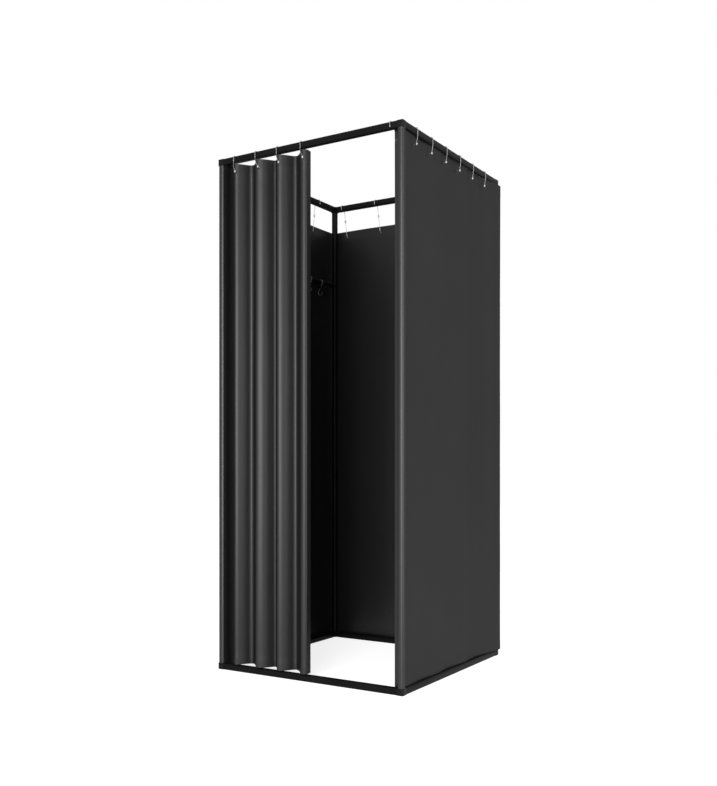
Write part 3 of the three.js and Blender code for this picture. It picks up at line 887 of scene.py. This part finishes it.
# A centripetal Catmull-Rom curve through the points
def smooth_line(points, steps):
    first = points[0] * 2 - points[1]
    last = points[-1] * 2 - points[-2]
    full = [first, *points, last]
    made = [points[0]]
    for p0, p1, p2, p3 in zip(full, full[1:], full[2:], full[3:]):
        t1 = (p1 - p0).length ** 0.5
        t2 = t1 + (p2 - p1).length ** 0.5
        t3 = t2 + (p3 - p2).length ** 0.5
        for step in range(1, steps + 1):
            t = t1 + (t2 - t1) * step / steps
            a1 = p0 * ((t1 - t) / t1) + p1 * (t / t1)
            a2 = p1 * ((t2 - t) / (t2 - t1)) + p2 * ((t - t1) / (t2 - t1))
            a3 = p2 * ((t3 - t) / (t3 - t2)) + p3 * ((t - t2) / (t3 - t2))
            b1 = a1 * ((t2 - t) / t2) + a2 * (t / t2)
            b2 = a2 * ((t3 - t) / (t3 - t1)) + a3 * ((t - t1) / (t3 - t1))
            made.append(b1 * ((t2 - t) / (t2 - t1)) + b2 * ((t - t1) / (t2 - t1)))
    return made


def arc(middle, radius, start, end):
    angles = [start + (end - start) * step / ARC_STEPS for step in range(ARC_STEPS + 1)]
    return [middle + radius * Vector((math.cos(angle), math.sin(angle))) for angle in angles]


# The front curtain's plan line: a tucked-in start, a straight first fold, three written folds
# and a rounded end
def front_line():
    crest_y = -POST_Y - CREST_OUT + SOLID_CLOTH / 2
    start_x = HALF - POST_X + 2 * SEAT_GAP + SOLID_CLOTH / 2
    depths = [crest_y + share * FOLD_DEPTH for share in FRONT_START_SHARES]
    start, corner = [Vector((start_x, depth)) for depth in depths]
    first_crest = Vector((CRESTS[0], crest_y))
    points = [corner.lerp(first_crest, share) for share in FIRST_FOLD_SHARES]
    points.append(Vector((CRESTS[0] - FRONT_EARLY, crest_y)))
    for before, after, fold in zip(CRESTS, CRESTS[1:], FOLDS):
        for along, depth in fold:
            points.append(Vector((before + along * (after - before), crest_y + depth * FOLD_DEPTH)))
    line = [start, *smooth_line(points, FOLD_STEPS)]
    last = CRESTS[-1]
    round_x = last - FRONT_END_SHIFT * FRONT_END_RADIUS
    middle = Vector((round_x, crest_y + FRONT_END_RADIUS))
    line += arc(middle, FRONT_END_RADIUS, -math.pi / 2, FRONT_END_TURN)
    line.append(Vector((last + FRONT_END_LEAN, crest_y + FRONT_END_DEPTH)))
    return line


# How far a wall's cloth stands in or out between two hooks
def sway(along, places):
    later = [index for index, place in enumerate(places) if place > along]
    index = max(later[0], 1) if later else len(places) - 1
    share = (along - places[index - 1]) / (places[index] - places[index - 1])
    return (1 if index % 2 == 0 else -1) * SWAY * math.sin(math.pi * share)


# The right curtain's plan line: in behind the front post, along the rail, out and round the
# back post
def right_line():
    strip_y = -POST_Y + RETURN_INSET
    line = [Vector((BOOTH_WIDTH / 2 - RETURN_TIP, strip_y))]
    line += arc(Vector((POST_X - TURN_RADIUS, strip_y + TURN_RADIUS)), TURN_RADIUS, -math.pi / 2, 0)
    start = BOOTH_DEPTH / 2 - BULGE_START
    end = BOOTH_DEPTH / 2 - BULGE_END
    hung = [place + RIGHT_LEAD for place in RIGHT_PLACES]
    for along in np.linspace(strip_y + 2 * TURN_RADIUS, end, RIGHT_LINE_POINTS):
        share = min(max((along - start) / (end - start), 0), 1)
        bulge = OUTSIDE_HANG * share * share * (3 - 2 * share)
        swayed = sway(along, hung) if along < start else 0
        line.append(Vector((POST_X + bulge + swayed, along)))
    outside = POST_Y + OUTSIDE_HANG
    middle = Vector((POST_X + OUTSIDE_HANG - TURN_RADIUS, outside - TURN_RADIUS))
    line += arc(middle, TURN_RADIUS, 0, math.pi / 2)
    line.append(Vector((BOOTH_WIDTH / 2 - BACK_RETURN_TIP, outside)))
    return line


def outside_line(wall, start, end, hung):
    line = []
    for along in np.linspace(start, end, OUTSIDE_LINE_POINTS):
        place = WALLS[wall](float(along), OUTSIDE_HANG + sway(float(along), hung), 0)
        line.append(place.to_2d())
    return line


# Places from start to end about a step apart, with the marks among them
def spaced(start, end, step, marks):
    count = max(int(round((end - start) / step)), 1)
    even = [start + (end - start) * index / count for index in range(count + 1)]
    clear = step * MARK_CLEARANCE
    kept = [value for value in even if all(abs(value - mark) > clear for mark in marks)]
    made = [start]
    for value in sorted(kept + [mark for mark in marks if start < mark < end]):
        if value - made[-1] > CLOSEST and end - value > CLOSEST:
            made.append(value)
    return [*made, end]


# A cloth's columns and rows, closer together at the hems and eyelets
def cloth_grid(length, bottom, top, step, centres):
    column_marks = [run + offset for run, _ in centres for offset in EYELET_STEPS]
    column_marks += [SIDE_HEM, SIDE_HEM + HEM_RAMP]
    column_marks += [length - SIDE_HEM - HEM_RAMP, length - SIDE_HEM]
    levels = {level for _, level in centres}
    row_marks = [round(level + offset, 6) for level in sorted(levels) for offset in EYELET_STEPS]
    row_marks += [top - TOP_HEM, top - TOP_HEM - HEM_RAMP]
    row_marks += [bottom + BOTTOM_HEM, bottom + BOTTOM_HEM + HEM_RAMP]
    row_marks += [top - LIFTED_BAND, bottom + LIFTED_BAND]
    return spaced(0, length, step, column_marks), spaced(bottom, top, ROW_STEP, row_marks)


# How far a point of a cloth stands off its plan line
def ripple_at(run, z, top, seed, drape):
    ripple = 0.0
    for share, along, up, offset in RIPPLES:
        ripple += RIPPLE * share * noise.noise(Vector((run * along, z * up, seed + offset)))
    loose = min(max((top - DRAPE_START - z) / DRAPE_GROWTH, 0), 1)
    along, up, offset = DRAPE_WAVES
    return ripple + drape * loose * noise.noise(Vector((run * along, z * up, seed + offset)))


# How far a point near a cloth's top or bottom edge is raised
def raised_at(run, z, bottom, top, lift, lower):
    if lift and z > top - LIFTED_BAND:
        return np.interp(run, *lift) * (z - top + LIFTED_BAND) / LIFTED_BAND
    if lower and z < bottom + LIFTED_BAND:
        return -np.interp(run, *lower) * (bottom + LIFTED_BAND - z) / LIFTED_BAND
    return 0


# Gives a cloth its thickness, full at the hems and less between them
def thicken(piece, hemmed):
    group = piece.vertex_groups.new(name="hem")
    group.add(hemmed, 1.0, "REPLACE")
    thick = piece.modifiers.new("thickness", "SOLIDIFY")
    thick.thickness = HEM
    thick.offset = 0
    thick.vertex_group = "hem"
    thick.thickness_vertex_group = CLOTH / HEM
    evaluated = piece.evaluated_get(bpy.context.evaluated_depsgraph_get())
    final = bpy.data.meshes.new_from_object(evaluated)
    piece.modifiers.clear()
    piece.vertex_groups.clear()
    piece.data = final
    final.shade_smooth()
    final.set_sharp_from_angle(angle=math.radians(SHARP_CLOTH))
    final.materials.clear()
    final.materials.append(BLACK_CLOTH)


# A cloth on its plan line, with a hole at each eyelet. The shape is the columns' step, the
# ripples' seed, the drape, and how the edges rise and sink.
def cloth(node, line, bottom, top, eyelets, rail, step, seed, drape=0.0, lift=None, lower=None):
    places = np.array([(point.x, point.y) for point in line])
    runs = np.concatenate([[0], np.cumsum(np.hypot(*np.diff(places, axis=0).T))])
    length = runs[-1]
    centres = []
    for plan, level in eyelets:
        nearest = np.argmin(np.hypot(places[:, 0] - plan.x, places[:, 1] - plan.y))
        centres.append((float(runs[nearest]), level))
    columns, rows = cloth_grid(length, bottom, top, step, centres)
    x = np.interp(columns, runs, places[:, 0])
    y = np.interp(columns, runs, places[:, 1])
    along = np.stack([np.gradient(x, columns), np.gradient(y, columns)], 1)
    along /= np.linalg.norm(along, axis=1)[:, None]
    half_ramp = HEM_RAMP / 2
    vertices, hemmed = [], []
    for z in rows:
        level_hem = z >= top - TOP_HEM - half_ramp or z <= bottom + BOTTOM_HEM + half_ramp
        for index, run in enumerate(columns):
            if level_hem or min(run, length - run) <= SIDE_HEM + half_ramp:
                hemmed.append(len(vertices))
            off = ripple_at(run, z, top, seed, drape)
            across = Vector((-along[index][1], along[index][0])) * off
            raised = raised_at(run, z, bottom, top, lift, lower)
            vertices.append((x[index] + across.x, y[index] + across.y, z + raised))
    width = len(columns)
    faces = []
    for row in range(len(rows) - 1):
        for column in range(width - 1):
            run = (columns[column] + columns[column + 1]) / 2
            level = (rows[row] + rows[row + 1]) / 2
            if any(math.hypot(run - r, level - l) < EYELET / 2 for r, l in centres):
                continue
            first = row * width + column
            faces.append((first, first + 1, first + width + 1, first + width))
    mesh = bpy.data.meshes.new(node + "_cloth")
    mesh.from_pydata(vertices, [], faces)
    forward = mesh.uv_layers.new(name=FORWARD_MAP)
    backward = mesh.uv_layers.new(name=BACKWARD_MAP)
    for loop in mesh.loops:
        row, column = divmod(loop.vertex_index, width)
        forward.data[loop.index].uv = (columns[column], rows[row] - bottom)
        backward.data[loop.index].uv = (length - columns[column], top - rows[row])
    piece = bpy.data.objects.new(node + "_cloth", mesh)
    bpy.context.scene.collection.objects.link(piece)
    thicken(piece, hemmed)
    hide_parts(node)
    return piece


# An eyelet: a thin ring with a rolled flange on each face of the cloth. Its curves are shares of
# how proud it stands: out at the inner edge, in from it, in from the outer edge, out there.
def eyelet(name, middle, outward, body):
    inner = EYELET / 2
    outer = inner + EYELET_FLANGE
    inner_out, inner_in, outer_in, outer_out = [EYELET_PROUD * share for share in EYELET_CURVES]
    half = [
        (inner, inner_out),
        (inner + inner_in, EYELET_PROUD),
        (outer - outer_in, EYELET_PROUD),
        (outer, outer_out),
    ]
    profile = [(radius, -depth) for radius, depth in half] + half[::-1]
    side = outward.cross(Vector((0, 0, 1))).normalized()
    up = side.cross(outward).normalized()
    vertices = []
    for radius, depth in profile:
        for x, y in circle(radius, EYELET_RING_SIDES):
            vertices.append(middle + side * x + up * y + outward * depth)
    faces = ring_faces(len(profile), EYELET_RING_SIDES, True)
    new_piece(name, vertices, faces, DARK_METAL, body)


def eyelet_height(drop):
    return RAIL_Z - drop - HANG_SLACK


def make_front_curtain():
    line = front_line()
    height = eyelet_height(FRONT_DROP)
    top = BOOTH_HEIGHT - FRONT_TOP_DROP
    inner = range(1, len(line) - 1)
    places = [min(inner, key=lambda place: abs(line[place].x - crest)) for crest in CRESTS]
    eyelets = [(line[place], height) for place in places]
    shape = (FRONT_STEP, 1, 0, FRONT_LIFT, FRONT_LOWER)
    piece = cloth("front_curtain", line, FRONT_CLEARANCE, top, eyelets, "top_rail_front", *shape)
    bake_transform(piece)
    for index, place in enumerate(places):
        middle = line[place].to_3d() + Vector((0, 0, height))
        along = (line[place + 1] - line[place - 1]).normalized()
        outward = Vector((along.y, -along.x, 0))
        eyelet(f"front_eyelet_{index + 1}", middle, outward, FRONT_BODIES[index])


def make_right_curtain():
    height = eyelet_height(RIGHT_DROP)
    outward = Vector((1, 0, 0))
    hung = []
    for place in RIGHT_PLACES:
        hung.append((WALLS["right"](place + RIGHT_LEAD, 0, 0), height, outward))
    height = eyelet_height(RETURN_DROP)
    front = WALLS["in_front"](RETURN_X + RETURN_LEAD, RETURN_INSET, 0)
    hung.append((front, height, Vector((0, -1, 0))))
    back = WALLS["back"](BACK_RETURN_X, OUTSIDE_HANG, 0)
    hung.append((back, height, Vector((0, 1, 0))))
    eyelets = [(place.to_2d(), level) for place, level, _ in hung]
    edge = TUBE + RAIL_CLEARANCE
    top = BOOTH_HEIGHT - edge
    shape = (WALL_STEP, 2, RIGHT_DRAPE, RETURN_LIFT, RETURN_LOWER)
    piece = cloth("right_curtain", right_line(), edge, top, eyelets, "top_rail_right", *shape)
    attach(piece, "frame")
    for index, (place, level, outward) in enumerate(hung, 1):
        eyelet(f"right_eyelet_{index}", Vector((place.x, place.y, level)), outward, "frame")


def make_outside_curtain(wall, start, end, places, lead, outward, seed):
    hung = [place + lead for place in places]
    height = eyelet_height(LONG_HOOK_DROP)
    spots = [WALLS[wall](place, OUTSIDE_HANG, 0) for place in hung]
    eyelets = [(spot.to_2d(), height) for spot in spots]
    line = outside_line(wall, start, end, hung)
    top = BOOTH_HEIGHT - LONG_DROP
    shape = (WALL_STEP, seed, LONG_DRAPE)
    piece = cloth(f"{wall}_curtain", line, LONG_CLEARANCE, top, eyelets, f"top_rail_{wall}", *shape)
    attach(piece, "frame")
    for index, spot in enumerate(spots, 1):
        eyelet(f"{wall}_eyelet_{index}", Vector((spot.x, spot.y, height)), outward, "frame")


def make_curtains():
    make_front_curtain()
    make_right_curtain()
    back = (BACK_START - BOOTH_WIDTH / 2, BOOTH_WIDTH / 2 - BACK_END)
    make_outside_curtain("back", *back, BACK_PLACES, LONG_LEAD, Vector((0, 1, 0)), 3)
    left = (LEFT_START - BOOTH_DEPTH / 2, BOOTH_DEPTH / 2 - LEFT_END)
    make_outside_curtain("left", *left, LEFT_PLACES, -LONG_LEAD, Vector((-1, 0, 0)), 4)


# Studio
def make_camera():
    data = bpy.data.cameras.new("camera")
    data.sensor_width = SENSOR
    data.lens = FOCAL_PX * SENSOR / PHOTO_HEIGHT
    data.shift_y = (HORIZON_PX - PHOTO_HEIGHT / 2) / PHOTO_HEIGHT
    camera = bpy.data.objects.new("camera", data)
    camera.location = CAMERA_PLACE
    camera.rotation_euler = (math.pi / 2, 0, math.radians(CAMERA_YAW))
    bpy.context.scene.collection.objects.link(camera)
    bpy.context.scene.camera = camera


# Lights the object by one shader, and shows the other to the camera, in reflections and through
# clear surfaces
def light_and_show(tree, lit, seen, output):
    path = tree.nodes.new("ShaderNodeLightPath")
    shown = path.outputs["Is Camera Ray"]
    for other in ("Is Glossy Ray", "Is Transmission Ray"):
        shown = math_node(tree, "MAXIMUM", shown, path.outputs[other])
    choose = tree.nodes.new("ShaderNodeMixShader")
    tree.links.new(shown, choose.inputs["Fac"])
    tree.links.new(lit.outputs[0], choose.inputs[1])
    tree.links.new(seen.outputs[0], choose.inputs[2])
    tree.links.new(choose.outputs[0], output.inputs["Surface"])


def make_floor():
    mesh = bpy.data.meshes.new("floor")
    sides = [(-1, -1), (1, -1), (1, 1), (-1, 1)]
    corners = [(x * FLOOR_REACH, y * FLOOR_REACH, 0) for x, y in sides]
    mesh.from_pydata(corners, [], [(0, 1, 2, 3)])
    floor = bpy.data.objects.new("floor", mesh)
    bpy.context.scene.collection.objects.link(floor)
    material, tree, shader = new_material("pale_floor")
    set_inputs(shader, Base_Color=FLOOR_COLOUR, Roughness=FLOOR_ROUGHNESS, Specular_IOR_Level=0)
    glow = add_node(tree, "ShaderNodeEmission", Strength=FLOOR_GLOW)
    both = tree.nodes.new("ShaderNodeAddShader")
    tree.links.new(shader.outputs[0], both.inputs[0])
    tree.links.new(glow.outputs[0], both.inputs[1])
    light_and_show(tree, shader, both, tree.nodes["Material Output"])
    mesh.materials.append(material)


def make_world():
    world = bpy.data.worlds.new("studio")
    bpy.context.scene.world = world
    world.use_nodes = True
    tree = world.node_tree
    tree.nodes.clear()
    lit = add_node(tree, "ShaderNodeBackground", Color=WHITE, Strength=WORLD_LIGHT)
    seen = add_node(tree, "ShaderNodeBackground", Color=WHITE, Strength=WORLD_SEEN)
    light_and_show(tree, lit, seen, tree.nodes.new("ShaderNodeOutputWorld"))


# A softbox that faces the middle of the booth
def softbox(name, azimuth, distance, height, width, tall, watts):
    angle = math.radians(azimuth)
    data = bpy.data.lights.new(name, "AREA")
    data.shape = "RECTANGLE"
    data.size = width
    data.size_y = tall
    data.energy = watts
    light = bpy.data.objects.new(name, data)
    light.location = (distance * math.sin(angle), -distance * math.cos(angle), height)
    aim = Vector((0, 0, BOOTH_HEIGHT / 2)) - light.location
    light.rotation_euler = aim.to_track_quat("-Z", "Y").to_euler()
    bpy.context.scene.collection.objects.link(light)


make_camera()
make_frame()
make_connectors()
make_plugs()
make_hooks()
make_garment_hooks()
make_curtains()
make_floor()
make_world()
for name, values in SOFTBOXES.items():
    softbox(name, *values)
bpy.context.scene.view_settings.view_transform = "Standard"
